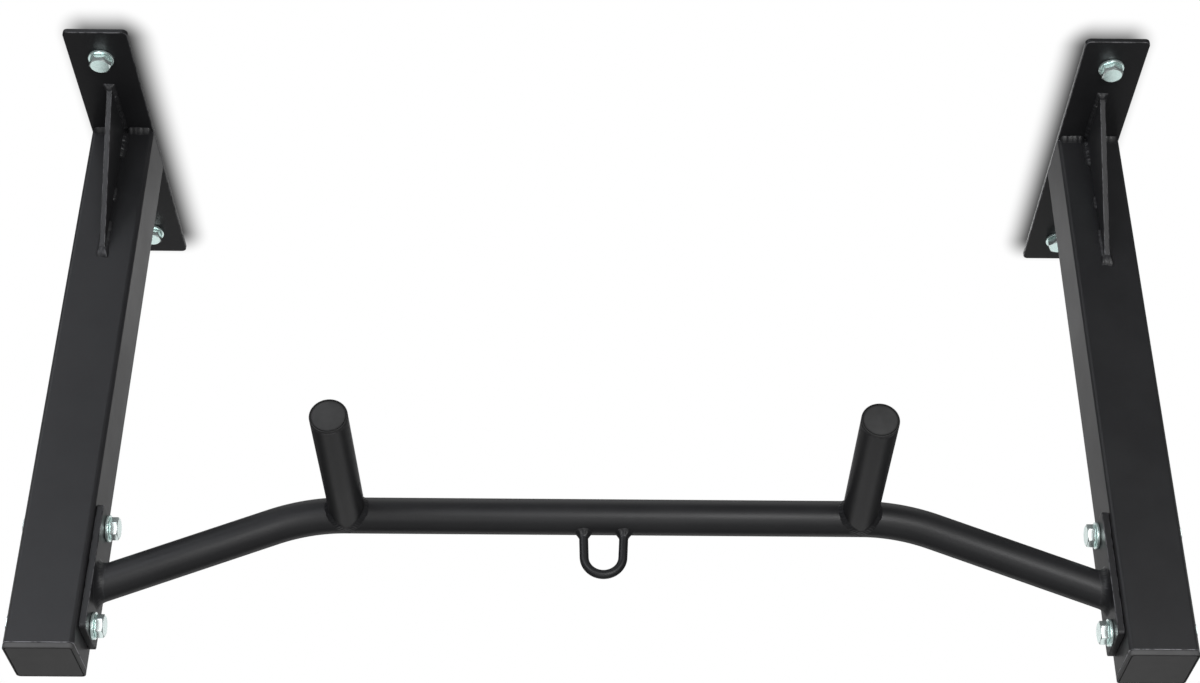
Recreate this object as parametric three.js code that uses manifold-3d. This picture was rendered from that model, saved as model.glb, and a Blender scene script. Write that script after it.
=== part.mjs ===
// Ceiling-mounted pull-up bar: two welded steel arms and a bolted-in bent bar with two
// forward grips and a hanging eye.
//
// Millimetres. X runs along the bar, -Y points to the user's side, +Z points up.
// The origin lies on the ceiling plane, midway between the two arms.

import * as THREE from 'three';
import { mergeVertices } from 'three/addons/utils/BufferGeometryUtils.js';
import Module from 'manifold-3d';

const wasm = await Module();
wasm.setup();

// ---------- driving dimensions ----------

const GAP = 0.3; // clearance between pieces that touch or are welded together
const HOLE_CLEARANCE = 0.5; // radial clearance of a bolt in its hole

const ARM_SPACING = 948; // between the centre planes of the arms
const ARM_SIZE = 60; // square tube, outside
const ARM_WALL = 3;
const ARM_CORNER = 4; // outside corner radius
const DROP = 556; // ceiling to the underside of the arms' end caps

const PLATE_LENGTH = 348;
const PLATE_WIDTH = 60;
const PLATE_THICKNESS = 5;
const PLATE_CORNER = 5;
const CEILING_HOLE_OFFSET = 138.5; // of each ceiling hole from the plate's centre

const GUSSET_THICKNESS = 5;
const GUSSET_REACH = 66; // along the plate, from the arm's front face
const GUSSET_DROP = 142; // down the arm, from the plate
const GUSSET_TOE = 4; // blunt width of each pointed end

const CAP_FLANGE = 4.5;
const CAP_CHAMFER = 1;
const CAP_PLUG_DEPTH = 16;
const CAP_PLUG_WALL = 2.5;

const BAR_DIAMETER = 32;
const BAR_WALL = 2.5;
const BAR_HEIGHT = -413; // axis of the bar's straight middle
const BAR_END_HEIGHT = -483; // where the axis meets the end plates
const BEND_OFFSET = 261.5; // of each bend's corner from the middle
const BEND_RADIUS = 173;

const END_PLATE_WIDTH = 48;
const END_PLATE_LENGTH = 118;
const END_PLATE_THICKNESS = 6;
const END_PLATE_CORNER = 3;
const END_PLATE_HEIGHT = -475; // centre of the end plates
const BOLT_SPACING = 94; // between the two bolts of an end plate

const GRIP_OFFSET = 226.5; // of each grip from the middle
const GRIP_LENGTH = 172.5; // from the bar's axis to the grip's tip
const GRIP_CAP_THICKNESS = 3;
const GRIP_CAP_PLUG = 8;

const EYE_ROD = 8;
const EYE_DROP = 60.5; // from the bar's axis to the bottom of the eye
const EYE_RADIUS = 17; // of the rod's axis round the bottom
const EYE_LEAN = THREE.MathUtils.degToRad(2); // of each leg, which spread towards the bar

const BOLT_DIAMETER = 12;
const BOLT_LENGTH = 76.5; // under the head
const HEAD_FLATS = 18; // across flats
const HEAD_HEIGHT = 7.5;
const NUT_HEIGHT = 6; // low hexagon nut
const WASHER_DIAMETER = 24;
const WASHER_THICKNESS = 2.5;
const SCREW_LENGTH = 80; // coach screw, under the head
const SCREW_TIP = 10;

// ---------- finishes ----------

const coated = () => new THREE.MeshStandardMaterial({ color: 0x2b2b2d, roughness: 0.55, metalness: 0.2 });
const plastic = () => new THREE.MeshStandardMaterial({ color: 0x242426, roughness: 0.6, metalness: 0 });
const zinc = () => new THREE.MeshStandardMaterial({ color: 0xc9d2d4, roughness: 0.3, metalness: 0.9 });

// ---------- solids ----------

const TUBE_SIDES = 32;
const SMALL_SIDES = 20; // of a bolt, washer, nut or hole
const QUARTER_STEPS = 2; // divisions of an arc in a flat outline, which three.js doubles

/** A manifold solid from a closed three.js geometry. */
function solid(geometry) {
  const bare = geometry.clone();
  bare.deleteAttribute('normal');
  bare.deleteAttribute('uv');
  const merged = mergeVertices(bare, 1e-3);
  const index = merged.index.array;
  const triangles = [];
  for (let i = 0; i < index.length; i += 3) {
    const [a, b, c] = [index[i], index[i + 1], index[i + 2]];
    if (a !== b && b !== c && c !== a) {
      triangles.push(a, b, c);
    }
  }
  return new wasm.Manifold(new wasm.Mesh({
    numProp: 3,
    vertProperties: new Float32Array(merged.attributes.position.array),
    triVerts: new Uint32Array(triangles),
  }));
}

/** The three.js geometry of a manifold solid. */
function surface(body) {
  const mesh = body.getMesh();
  const geometry = new THREE.BufferGeometry();
  geometry.setAttribute('position', new THREE.BufferAttribute(mesh.vertProperties, 3));
  geometry.setIndex(new THREE.BufferAttribute(mesh.triVerts, 1));
  geometry.computeVertexNormals();
  return geometry;
}

/** A cylinder along X, Y or Z, centred on a point. */
function rod(radius, length, axis, centre, sides) {
  const geometry = new THREE.CylinderGeometry(radius, radius, length, sides);
  if (axis === 'x') {
    geometry.rotateZ(Math.PI / 2);
  } else if (axis === 'z') {
    geometry.rotateX(Math.PI / 2);
  }
  return geometry.translate(centre.x, centre.y, centre.z);
}

/** Draws a rectangle with round corners, centred on the origin, into a shape or a hole's path. */
function roundedRectangle(outline, width, height, radius) {
  const x = width / 2 - radius;
  const y = height / 2 - radius;
  outline.absarc(x, y, radius, 0, Math.PI / 2);
  outline.absarc(-x, y, radius, Math.PI / 2, Math.PI);
  outline.absarc(-x, -y, radius, Math.PI, 1.5 * Math.PI);
  outline.absarc(x, -y, radius, 1.5 * Math.PI, 2 * Math.PI);
  outline.closePath();
  return outline;
}

/** A round hole in a flat outline, drawn as four quarter arcs. */
function roundHole(x, y, radius) {
  const outline = new THREE.Path();
  for (let quarter = 0; quarter < 4; quarter++) {
    outline.absarc(x, y, radius, (quarter * Math.PI) / 2, ((quarter + 1) * Math.PI) / 2);
  }
  return outline;
}

/** A flat piece from z = 0 to its thickness, with its edges broken by a small bevel. */
function flatPiece(outline, thickness, bevel) {
  const geometry = new THREE.ExtrudeGeometry(outline, {
    depth: thickness - 2 * bevel,
    curveSegments: QUARTER_STEPS,
    bevelThickness: bevel,
    bevelSize: bevel,
    bevelOffset: -bevel,
    bevelSegments: 1,
  });
  return geometry.translate(0, 0, bevel);
}

/** A path of straight runs joined by arcs, whose stations lie only at the ends and round the arcs. */
class BentPath extends THREE.Curve {
  constructor(corners, radius, arcSteps) {
    super();
    this.stations = [corners[0]];
    for (let i = 1; i < corners.length - 1; i++) {
      const along = corners[i].clone().sub(corners[i - 1]).normalize();
      const next = corners[i + 1].clone().sub(corners[i]).normalize();
      const angle = along.angleTo(next);
      const start = corners[i].clone().addScaledVector(along, -radius * Math.tan(angle / 2));
      const inward = next.clone().addScaledVector(along, -next.dot(along)).normalize();
      for (let k = 0; k <= arcSteps; k++) {
        const turned = (angle * k) / arcSteps;
        const station = start.clone()
          .addScaledVector(along, radius * Math.sin(turned))
          .addScaledVector(inward, radius * (1 - Math.cos(turned)));
        // Where one arc runs straight into the next, they share a station.
        if (station.distanceTo(this.stations.at(-1)) > 1e-6) {
          this.stations.push(station);
        }
      }
    }
    this.stations.push(corners[corners.length - 1]);
  }

  get steps() {
    return this.stations.length - 1;
  }

  getPoint(t, target = new THREE.Vector3()) {
    const place = t * this.steps;
    const i = Math.min(Math.floor(place + 1e-9), this.steps - 1);
    return target.lerpVectors(this.stations[i], this.stations[i + 1], place - i);
  }

  // One step of the extrusion per station, whatever the runs' lengths.
  getUtoTmapping(u) {
    return u;
  }
}

/** A round bar or tube along a path. */
function alongPath(path, sides, radius, boreRadius) {
  const section = new THREE.Shape().absarc(0, 0, radius, 0, 2 * Math.PI);
  if (boreRadius) {
    section.holes.push(new THREE.Path().absarc(0, 0, boreRadius, 0, 2 * Math.PI));
  }
  return new THREE.ExtrudeGeometry(section, {
    steps: path.steps,
    extrudePath: path,
    bevelEnabled: false,
    curveSegments: sides / 2,
  });
}

/** A hexagon from z = 0 up to its height, its corners cut back by a cone at the top or at both ends. */
function hexagon(height, bothEnds) {
  const corner = HEAD_FLATS / Math.sqrt(3);
  const corners = [];
  for (let i = 0; i < 6; i++) {
    const angle = (i * Math.PI) / 3;
    corners.push(new THREE.Vector2(corner * Math.cos(angle), corner * Math.sin(angle)));
  }
  const outline = new THREE.Shape(corners);
  const prism = new THREE.ExtrudeGeometry(outline, { depth: height, bevelEnabled: false });
  const face = 0.95 * (HEAD_FLATS / 2); // radius of the flat end face
  const wide = corner + 0.5; // clear of the corners
  const slope = (wide - face) * Math.tan(Math.PI / 6);
  const profile = [
    new THREE.Vector2(0, 0),
    new THREE.Vector2(bothEnds ? face : wide, 0),
    new THREE.Vector2(wide, slope),
    new THREE.Vector2(wide, height - slope),
    new THREE.Vector2(face, height),
    new THREE.Vector2(0, height),
  ];
  const envelope = new THREE.LatheGeometry(profile, SMALL_SIDES).rotateX(Math.PI / 2);
  return solid(prism).intersect(solid(envelope));
}

/** A headed fastener: its head below z = 0 and its shank above, with a pointed or a broken end. */
function headed(length, tipLength, tipRadius) {
  const radius = BOLT_DIAMETER / 2;
  const profile = [
    new THREE.Vector2(0, -HEAD_HEIGHT / 2),
    new THREE.Vector2(radius, -HEAD_HEIGHT / 2),
    new THREE.Vector2(radius, length - tipLength),
    new THREE.Vector2(tipRadius, length),
    new THREE.Vector2(0, length),
  ];
  const shank = new THREE.LatheGeometry(profile, SMALL_SIDES).rotateX(Math.PI / 2);
  return surface(hexagon(HEAD_HEIGHT, false).rotate([180, 0, 0]).add(solid(shank)));
}

// ---------- places that follow from the dimensions ----------

const armX = ARM_SPACING / 2;
const armInnerX = armX - ARM_SIZE / 2;
const armOuterX = armX + ARM_SIZE / 2;
const armTop = -PLATE_THICKNESS - GAP;
const armBottom = -DROP + CAP_FLANGE + GAP;
const endPlateInnerX = armInnerX - GAP - END_PLATE_THICKNESS;
const boltSeatX = endPlateInnerX - WASHER_THICKNESS - 2 * GAP; // under the arm bolts' heads
const boltHeights = [END_PLATE_HEIGHT + BOLT_SPACING / 2, END_PLATE_HEIGHT - BOLT_SPACING / 2];
const boltHoleRadius = BOLT_DIAMETER / 2 + HOLE_CLEARANCE;

// ---------- pieces, each in its own frame ----------

/** Flat strip against the ceiling, its length along Y and its underside at z = 0. */
function ceilingPlateGeometry() {
  const edge = 0.5;
  const outline = roundedRectangle(new THREE.Shape(), PLATE_WIDTH, PLATE_LENGTH, PLATE_CORNER);
  for (const y of [-CEILING_HOLE_OFFSET, CEILING_HOLE_OFFSET]) {
    outline.holes.push(roundHole(0, y, boltHoleRadius));
  }
  return flatPiece(outline, PLATE_THICKNESS, edge);
}

/** Square tube hanging from z = 0, with two bolt holes through both side walls. */
function armGeometry() {
  const length = armTop - armBottom;
  const section = roundedRectangle(new THREE.Shape(), ARM_SIZE, ARM_SIZE, ARM_CORNER);
  const bore = ARM_SIZE - 2 * ARM_WALL;
  section.holes.push(roundedRectangle(new THREE.Path(), bore, bore, ARM_CORNER - ARM_WALL));
  const tube = new THREE.ExtrudeGeometry(section, {
    depth: length,
    bevelEnabled: false,
    curveSegments: QUARTER_STEPS,
  });
  let body = solid(tube.translate(0, 0, -length));
  for (const height of boltHeights) {
    const centre = new THREE.Vector3(0, 0, height - armTop);
    body = body.subtract(solid(rod(boltHoleRadius, ARM_SIZE + 10, 'x', centre, SMALL_SIDES)));
  }
  return surface(body);
}

/** Triangular brace in the YZ plane: its corner at the origin, reaching to -Y and -Z. */
function gussetGeometry() {
  const edge = 0.4;
  const outline = new THREE.Shape();
  outline.moveTo(0, 0);
  outline.lineTo(GUSSET_REACH, 0);
  outline.lineTo(GUSSET_REACH, -GUSSET_TOE);
  outline.lineTo(GUSSET_TOE, -GUSSET_DROP);
  outline.lineTo(0, -GUSSET_DROP);
  outline.closePath();
  const geometry = flatPiece(outline, GUSSET_THICKNESS, edge);
  geometry.translate(0, 0, -GUSSET_THICKNESS / 2);
  // The outline's x becomes -Y and its y becomes Z.
  geometry.rotateX(Math.PI / 2);
  return geometry.rotateZ(-Math.PI / 2);
}

/** Plug for the arm's open end: a flange under z = 0 and a hollow square spigot above it. */
function armCapGeometry() {
  const flangeOutline = roundedRectangle(new THREE.Shape(), ARM_SIZE, ARM_SIZE, ARM_CORNER);
  const flange = new THREE.ExtrudeGeometry(flangeOutline, {
    depth: CAP_FLANGE - 2 * CAP_CHAMFER,
    curveSegments: QUARTER_STEPS,
    bevelThickness: CAP_CHAMFER,
    bevelSize: CAP_CHAMFER,
    bevelOffset: -CAP_CHAMFER,
    bevelSegments: 2,
  });
  flange.translate(0, 0, CAP_CHAMFER - CAP_FLANGE);
  const spigotSize = ARM_SIZE - 2 * (ARM_WALL + GAP);
  const hollowSize = spigotSize - 2 * CAP_PLUG_WALL;
  const spigotOutline = roundedRectangle(new THREE.Shape(), spigotSize, spigotSize, ARM_CORNER - ARM_WALL);
  spigotOutline.holes.push(roundedRectangle(new THREE.Path(), hollowSize, hollowSize, 1));
  const spigot = new THREE.ExtrudeGeometry(spigotOutline, {
    depth: CAP_PLUG_DEPTH + 1,
    bevelEnabled: false,
    curveSegments: QUARTER_STEPS,
  });
  return surface(solid(flange).add(solid(spigot.translate(0, 0, -1))));
}

/** Upright plate at the bar's end, lying in the YZ plane with its thickness centred on x = 0. */
function endPlateGeometry() {
  const edge = 0.5;
  const outline = roundedRectangle(new THREE.Shape(), END_PLATE_WIDTH, END_PLATE_LENGTH, END_PLATE_CORNER);
  for (const y of [-BOLT_SPACING / 2, BOLT_SPACING / 2]) {
    outline.holes.push(roundHole(0, y, boltHoleRadius));
  }
  const geometry = flatPiece(outline, END_PLATE_THICKNESS, edge);
  geometry.translate(0, 0, -END_PLATE_THICKNESS / 2);
  // The outline's x becomes Y and its y becomes Z.
  geometry.rotateX(Math.PI / 2);
  return geometry.rotateZ(Math.PI / 2);
}

/** The bar's axis from one end plate to the other, run on past both of them. */
function barPath() {
  const slope = (BAR_END_HEIGHT - BAR_HEIGHT) / (endPlateInnerX - BEND_OFFSET);
  const beyond = endPlateInnerX + 20;
  const beyondHeight = BAR_HEIGHT + slope * (beyond - BEND_OFFSET);
  return new BentPath([
    new THREE.Vector3(-beyond, 0, beyondHeight),
    new THREE.Vector3(-BEND_OFFSET, 0, BAR_HEIGHT),
    new THREE.Vector3(BEND_OFFSET, 0, BAR_HEIGHT),
    new THREE.Vector3(beyond, 0, beyondHeight),
  ], BEND_RADIUS, 8);
}

/** The bent tube, cut square to the end plates. */
function barGeometry() {
  const radius = BAR_DIAMETER / 2;
  const span = 2 * (endPlateInnerX - GAP);
  const between = new THREE.BoxGeometry(span, 100, 400).translate(0, 0, BAR_HEIGHT);
  const tube = alongPath(barPath(), TUBE_SIDES, radius, radius - BAR_WALL);
  return surface(solid(tube).intersect(solid(between)));
}

/** The space that the bar and its welds take, which what is welded to it is cut back from. */
function barSpace() {
  return solid(alongPath(barPath(), TUBE_SIDES, BAR_DIAMETER / 2 + GAP));
}

/** A grip, pointing to -Y, coped to the bar. */
function gripGeometry(x) {
  const radius = BAR_DIAMETER / 2;
  const length = GRIP_LENGTH - GRIP_CAP_THICKNESS - GAP;
  const centre = new THREE.Vector3(x, -length / 2, BAR_HEIGHT);
  const outside = solid(rod(radius, length, 'y', centre, TUBE_SIDES));
  const bore = solid(rod(radius - BAR_WALL, length + 10, 'y', centre, TUBE_SIDES));
  return surface(outside.subtract(bore).subtract(barSpace()));
}

/** Round plug for a grip's open end, its flange facing -Y with its outer face at y = 0. */
function gripCapGeometry() {
  const radius = BAR_DIAMETER / 2;
  const edge = 0.6;
  const plugRadius = radius - BAR_WALL - GAP;
  const profile = [
    new THREE.Vector2(0, 0),
    new THREE.Vector2(radius - edge, 0),
    new THREE.Vector2(radius, edge),
    new THREE.Vector2(radius, GRIP_CAP_THICKNESS),
    new THREE.Vector2(plugRadius, GRIP_CAP_THICKNESS),
    new THREE.Vector2(plugRadius, GRIP_CAP_THICKNESS + GRIP_CAP_PLUG),
    new THREE.Vector2(0, GRIP_CAP_THICKNESS + GRIP_CAP_PLUG),
  ];
  return new THREE.LatheGeometry(profile, TUBE_SIDES);
}

/** U of round rod hanging under the middle of the bar, its legs coped to the bar. */
function eyeGeometry() {
  const bottom = BAR_HEIGHT - EYE_DROP + EYE_ROD / 2;
  const bottomHalf = EYE_RADIUS * Math.tan((Math.PI / 2 - EYE_LEAN) / 2);
  const top = BAR_HEIGHT - 10;
  const topHalf = bottomHalf + (top - bottom) * Math.tan(EYE_LEAN);
  const path = new BentPath([
    new THREE.Vector3(-topHalf, 0, top),
    new THREE.Vector3(-bottomHalf, 0, bottom),
    new THREE.Vector3(bottomHalf, 0, bottom),
    new THREE.Vector3(topHalf, 0, top),
  ], EYE_RADIUS, 10);
  return surface(solid(alongPath(path, SMALL_SIDES, EYE_ROD / 2)).subtract(barSpace()));
}

/** Flat washer from z = 0 up. */
function washerGeometry() {
  const edge = 0.3;
  const inner = boltHoleRadius;
  const outer = WASHER_DIAMETER / 2;
  const profile = [
    new THREE.Vector2(inner, 0),
    new THREE.Vector2(outer - edge, 0),
    new THREE.Vector2(outer, edge),
    new THREE.Vector2(outer, WASHER_THICKNESS),
    new THREE.Vector2(inner, WASHER_THICKNESS),
    new THREE.Vector2(inner, 0),
  ];
  return new THREE.LatheGeometry(profile, SMALL_SIDES).rotateX(Math.PI / 2);
}

/** Low hexagon nut from z = 0 up. */
function nutGeometry() {
  const bore = rod(BOLT_DIAMETER / 2 + GAP, 4 * NUT_HEIGHT, 'z', new THREE.Vector3(), SMALL_SIDES);
  return surface(hexagon(NUT_HEIGHT, true).subtract(solid(bore)));
}

const screwGeometry = () => headed(SCREW_LENGTH, SCREW_TIP, 1);
const boltGeometry = () => headed(BOLT_LENGTH, 1, BOLT_DIAMETER / 2 - 1);

// ---------- assembly ----------

/** A named piece at a place in its parent's frame. */
function piece(name, geometry, material, x, y, z) {
  const mesh = new THREE.Mesh(geometry, material);
  mesh.name = name;
  mesh.position.set(x, y, z);
  return mesh;
}

/** The screw and washer that hold a ceiling plate at one of its holes. */
function ceilingFixing(name, y, turn) {
  const washerBase = -PLATE_THICKNESS - GAP - WASHER_THICKNESS;
  const screw = piece(`${name}_screw`, screwGeometry(), zinc(), 0, y, washerBase - GAP);
  screw.rotation.z = turn;
  return [screw, piece(`${name}_screw_washer`, washerGeometry(), zinc(), 0, y, washerBase)];
}

/** A bolt with its washer and nut, clamping an end plate to its arm; Z runs outwards along the bolt. */
function armFixing(name, turn) {
  const group = new THREE.Group();
  const bolt = piece(`${name}_bolt`, boltGeometry(), zinc(), 0, 0, 0);
  const nut = piece(`${name}_nut`, nutGeometry(), zinc(), 0, 0, armOuterX - boltSeatX + GAP);
  bolt.rotation.z = turn;
  nut.rotation.z = Math.PI / 6 - turn;
  group.add(bolt, nut, piece(`${name}_washer`, washerGeometry(), zinc(), 0, 0, GAP));
  return group;
}

/** Everything on one side; sign is -1 on the left and +1 on the right. */
function side(name, sign, headTurns) {
  const group = new THREE.Group();
  const armFront = -ARM_SIZE / 2;

  const hanger = new THREE.Group();
  hanger.position.x = sign * armX;
  hanger.add(
    piece(`${name}_ceiling_plate`, ceilingPlateGeometry(), coated(), 0, 0, -PLATE_THICKNESS),
    piece(`${name}_arm`, armGeometry(), coated(), 0, 0, armTop),
    piece(`${name}_gusset`, gussetGeometry(), coated(), 0, armFront - GAP, armTop),
    piece(`${name}_arm_cap`, armCapGeometry(), plastic(), 0, 0, armBottom - GAP),
    ...ceilingFixing(`${name}_front`, -CEILING_HOLE_OFFSET, headTurns[0]),
    ...ceilingFixing(`${name}_rear`, CEILING_HOLE_OFFSET, headTurns[1]),
  );

  const endPlateX = sign * (endPlateInnerX + END_PLATE_THICKNESS / 2);
  const endPlate = piece(`${name}_end_plate`, endPlateGeometry(), coated(), endPlateX, 0, END_PLATE_HEIGHT);

  const gripX = sign * GRIP_OFFSET;
  const grip = piece(`${name}_grip`, gripGeometry(gripX), coated(), 0, 0, 0);
  const gripCap = piece(`${name}_grip_cap`, gripCapGeometry(), plastic(), gripX, -GRIP_LENGTH, BAR_HEIGHT);

  const fixings = ['upper', 'lower'].map((level, i) => {
    const fixing = armFixing(`${name}_${level}`, headTurns[2 + i]);
    fixing.position.set(sign * boltSeatX, 0, boltHeights[i]);
    fixing.rotation.y = sign * (Math.PI / 2);
    return fixing;
  });

  group.add(hanger, endPlate, grip, gripCap, ...fixings);
  return group;
}

// How far each hexagon head was left turned: front and rear screws, upper and lower bolts.
const LEFT_TURNS = [0, 0.35, 0.5, 0.2];
const RIGHT_TURNS = [0.6, 0.15, 0.45, 0.1];

const pullUpBar = new THREE.Group();
pullUpBar.add(
  piece('pull_up_bar', barGeometry(), coated(), 0, 0, 0),
  piece('bag_eye', eyeGeometry(), coated(), 0, 0, 0),
  side('left', -1, LEFT_TURNS),
  side('right', 1, RIGHT_TURNS),
);

export default pullUpBar;
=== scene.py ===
"""The looks of the ceiling-mounted pull-up bar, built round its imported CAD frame."""

import math

import bmesh
import bpy
from mathutils import Matrix, Vector
from mathutils.geometry import tessellate_polygon


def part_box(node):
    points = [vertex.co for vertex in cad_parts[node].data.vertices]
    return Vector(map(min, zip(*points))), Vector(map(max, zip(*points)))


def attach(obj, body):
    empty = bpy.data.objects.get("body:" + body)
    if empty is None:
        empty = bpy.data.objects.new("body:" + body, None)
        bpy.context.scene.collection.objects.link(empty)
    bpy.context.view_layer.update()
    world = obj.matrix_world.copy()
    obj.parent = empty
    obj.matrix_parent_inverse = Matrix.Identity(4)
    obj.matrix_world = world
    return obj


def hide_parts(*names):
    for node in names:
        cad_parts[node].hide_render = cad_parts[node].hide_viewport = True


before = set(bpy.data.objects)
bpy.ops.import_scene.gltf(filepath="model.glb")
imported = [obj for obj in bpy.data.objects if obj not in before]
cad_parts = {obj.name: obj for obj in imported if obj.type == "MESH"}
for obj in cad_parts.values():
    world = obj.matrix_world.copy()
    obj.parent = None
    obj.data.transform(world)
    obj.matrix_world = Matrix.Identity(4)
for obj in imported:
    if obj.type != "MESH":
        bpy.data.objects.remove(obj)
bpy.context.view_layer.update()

# ---------- sizes that the frame's boxes don't give, in millimetres ----------

MM = 0.001
GAP = 0.3  # clearance between pieces that touch
SUPPORT = 0.3  # width of the strip beside a rounded edge that keeps the flat face flat when shaded

ARM_WALL = 3
ARM_CORNER = 4
PLATE_CORNER = 5
END_PLATE_CORNER = 3
GUSSET_TOE = 4
GUSSET_CORNER = 1.2
CAP_FLANGE = 4.5
CAP_WALL = 2.5
# (inset, height) across the groove that parts the arm cap's underside panel from its border.
ARM_CAP_GROOVE = ((2.6, 0), (2.3, 0), (2.1, 0.15), (2.0, 0.9), (1.5, 0.9), (1.4, 0.15), (1.25, 0))
PANEL_CORNER = 2.5

TUBE_RADIUS = 16
TUBE_WALL = 2.5
BAR_END_DROP = 70  # from the bar's middle down to its ends
BEND_OFFSET = 261.5
BEND_RADIUS = 173

GRIP_CAP_THICKNESS = 3
# (radius, depth) across the groove that parts the grip cap's domed face from its rim.
GRIP_CAP_GROOVE = [(14.2, 0.65), (14.4, 1.4), (14.9, 1.4), (15.1, 0.45), (15.3, 0.35)]
EYE_ROD_RADIUS = 4
EYE_BEND_RADIUS = 17
EYE_LEAN = math.radians(2)

BOLT_RADIUS = 6
HOLE_RADIUS = 6.5
HEAD_FLATS = 18
# Threads, as length, pitch, depth and how much of the end narrows to a tip.
COACH_SCREW_THREAD = (52, 4.5, 1.3, 12)
BOLT_THREAD = (18, 1.75, 0.9, 0)

# Radii of the rounded edges.
PLATE_EDGE = 0.8
ARM_EDGE = 0.6
BORE_EDGE = 0.4
GUSSET_EDGE = 0.7
CAP_EDGE = 0.8
GRIP_EDGE = 0.5
WASHER_EDGE = 0.45

# How far each hexagon head was left turned, in radians.
TURNS = {
    "left": {"front": 0, "rear": 0.35, "upper": 0.6, "lower": 0.71},
    "right": {"front": 0.6, "rear": 0.15, "upper": 0.38, "lower": 0.35},
}

TUBE_SIDES = 96
SMALL_SIDES = 48
SHANK_SIDES = 36
BEND_STEPS = 20  # divisions along a bend in the bar or the eye
CORNER_STEPS = 8  # divisions round an outline's corner

# An edge starts to show its mark at the first bend and shows all of it at the second, in degrees; the
# materials show the mark as scuffing, painted highlight and painted shade.
WEAR_AND_PAINTED_LIGHT_BENDS = (12, 32)
ARM_WEAR_AND_HIGHLIGHT = 1.8  # scuffed through to uncoated metal here and there, also a painted highlight along its rounded edges
# The welds' rounded toes and ripples lighten a little, partly scuffing and partly painted highlight.
WELD_WEAR_AND_HIGHLIGHT = 0.2

# ---------- flat outlines ----------


def circle(radius, sides=SMALL_SIDES, x=0.0, y=0.0):
    """Points round a circle, anticlockwise."""
    turns = [2 * math.pi * k / sides for k in range(sides)]
    return [Vector((x + radius * math.cos(a), y + radius * math.sin(a))) for a in turns]


def rounded_polygon(corners, radius, steps=CORNER_STEPS):
    """A convex outline, anticlockwise, with round corners and a support point beside each arc."""
    corners = [Vector(corner) for corner in corners]
    points = []
    for i, corner in enumerate(corners):
        back = (corners[i - 1] - corner).normalized()
        ahead = (corners[(i + 1) % len(corners)] - corner).normalized()
        half = back.angle(ahead) / 2
        reach = radius / math.tan(half)
        centre = corner + (back + ahead).normalized() * (radius / math.sin(half))
        spoke = corner + back * reach - centre
        points.append(corner + back * (reach + SUPPORT))
        for k in range(steps + 1):
            points.append(centre + Matrix.Rotation((math.pi - 2 * half) * k / steps, 2) @ spoke)
        points.append(corner + ahead * (reach + SUPPORT))
    return points


def rounded_rectangle(width, height, radius, steps=CORNER_STEPS):
    """A rectangle with round corners, centred on the origin; its first point is on the +X side."""
    x, y = width / 2, height / 2
    return rounded_polygon([(x, y), (-x, y), (-x, -y), (x, -y)], radius, steps)


def inset(outline, distance):
    """The outline moved inwards by a distance, or outwards where it is negative."""
    moved = []
    for i, point in enumerate(outline):
        before = point - outline[i - 1]
        after = outline[(i + 1) % len(outline)] - point
        first = Vector((-before.y, before.x)).normalized()
        second = Vector((-after.y, after.x)).normalized()
        moved.append(point + (first + second) * (distance / (1 + first.dot(second))))
    return moved


def edge_stages(edge, length, steps=3):
    """(inset, height) pairs from one end of a prism to the other, with both ends' edges rounded."""
    turns = [math.pi / 2 * k / steps for k in range(steps + 1)]
    lower = [(edge + SUPPORT, 0)]
    lower += [(edge * (1 - math.sin(a)), edge * (1 - math.cos(a))) for a in turns]
    lower += [(0, edge + SUPPORT)]
    return lower + [(distance, length - height) for distance, height in reversed(lower)]


# ---------- closed surfaces ----------


class Body:
    """A closed surface in the making, in millimetres."""

    def __init__(self):
        self.points = []
        self.faces = []

    def ring(self, points):
        """Adds a closed loop of points and returns their numbers."""
        first = len(self.points)
        self.points += [Vector(point) for point in points]
        return list(range(first, len(self.points)))

    def level(self, outline, height):
        """Adds a flat outline at a height."""
        return self.ring((x, y, height) for x, y in outline)

    def skin(self, rings, closed=False, without=()):
        """Joins rings of equal length, leaving out the (step, side) pairs listed in without."""
        pairs = list(zip(rings, rings[1:]))
        if closed:
            pairs.append((rings[-1], rings[0]))
        for step, (a, b) in enumerate(pairs):
            for i in range(len(a)):
                j = (i + 1) % len(a)
                if (step, i) not in without:
                    self.faces.append((a[i], a[j], b[j], b[i]))

    def fill(self, *loops):
        """Fills a flat loop, with any further loops as holes in it."""
        if len(loops) == 1:
            self.faces.append(tuple(loops[0]))
            return
        numbers = [i for loop in loops for i in loop]
        flat = [[self.points[i] for i in loop] for loop in loops]
        self.faces += [tuple(numbers[k] for k in corners) for corners in tessellate_polygon(flat)]

    def move(self, matrix):
        """Places the whole surface."""
        self.points = [matrix @ point for point in self.points]
        return self


def basis(x, y, z, origin):
    """The placing of a body whose own axes become x, y and z at an origin."""
    columns = Matrix([x, y, z]).transposed().to_4x4()
    return Matrix.Translation(origin) @ columns


def plate(outline, thickness, edge, holes=()):
    """A flat piece from z = 0 up, its edges and its holes' edges rounded."""
    body = Body()
    bottoms, tops = [], []
    for loop, inward in [(outline, 1)] + [(hole, -1) for hole in holes]:
        stages = edge_stages(edge, thickness)
        rings = [body.level(inset(loop, inward * distance), height) for distance, height in stages]
        body.skin(rings)
        bottoms.append(rings[0])
        tops.append(rings[-1])
    body.fill(*bottoms)
    body.fill(*tops)
    return body


def lathe(profile):
    """A profile of (radius, height) pairs turned round Z, filled flat at both ends."""
    body = Body()
    rings = [body.level(circle(radius, TUBE_SIDES), height) for radius, height in profile]
    body.skin(rings)
    body.fill(rings[0])
    body.fill(rings[-1])
    return body


def mark_wear_and_painted_light(work, amount):
    """Gives rounded edges more of the mark that the materials show as scuffing, painted highlight and
    painted shade, and flat faces none.
    """
    wear_and_painted_light = work.verts.layers.float.new("wear_and_painted_light")
    start, full = WEAR_AND_PAINTED_LIGHT_BENDS
    for vertex in work.verts:
        bend = max((math.degrees(edge.calc_face_angle(0)) for edge in vertex.link_edges), default=0)
        vertex[wear_and_painted_light] = amount * min(max((bend - start) / (full - start), 0), 1)


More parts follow.
